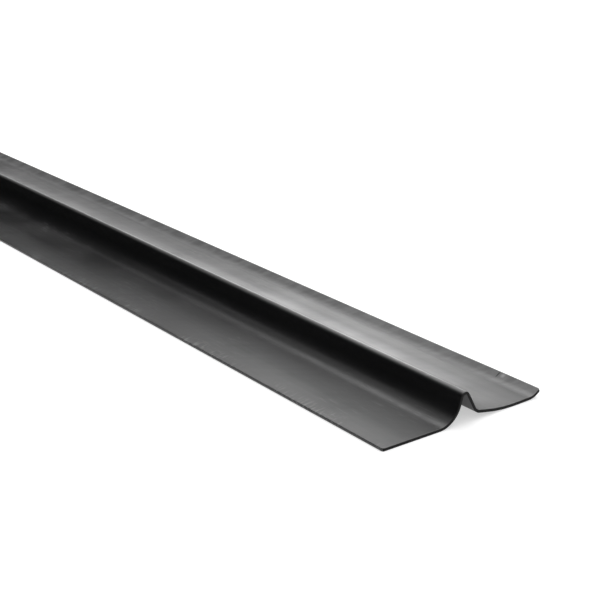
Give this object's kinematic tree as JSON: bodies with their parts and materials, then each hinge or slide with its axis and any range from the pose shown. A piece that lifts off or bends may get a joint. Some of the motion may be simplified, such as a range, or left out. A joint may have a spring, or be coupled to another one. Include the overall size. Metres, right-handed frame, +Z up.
{
  "type": "steel lintel",
  "caption": "Cold-rolled sheet-steel lintel for a thin wall: two flat bearing flanges, a narrow hollow ridge between them and a turned-up lip along one edge.",
  "frame": {"origin": "middle of the length and of the width, on the plane that both flanges bear on", "axes": "+X along the lintel, +Y across the wall towards the lipped edge, +Z up through the ridge"},
  "size_m": [1.05, 0.1, 0.016],
  "materials": {
    "coated_steel": "semi-gloss black polyester powder coat on galvanised sheet steel, lightly scuffed"
  },
  "bodies": {
    "root": {"lintel": "coated_steel"}
  },
  "joints": []
}
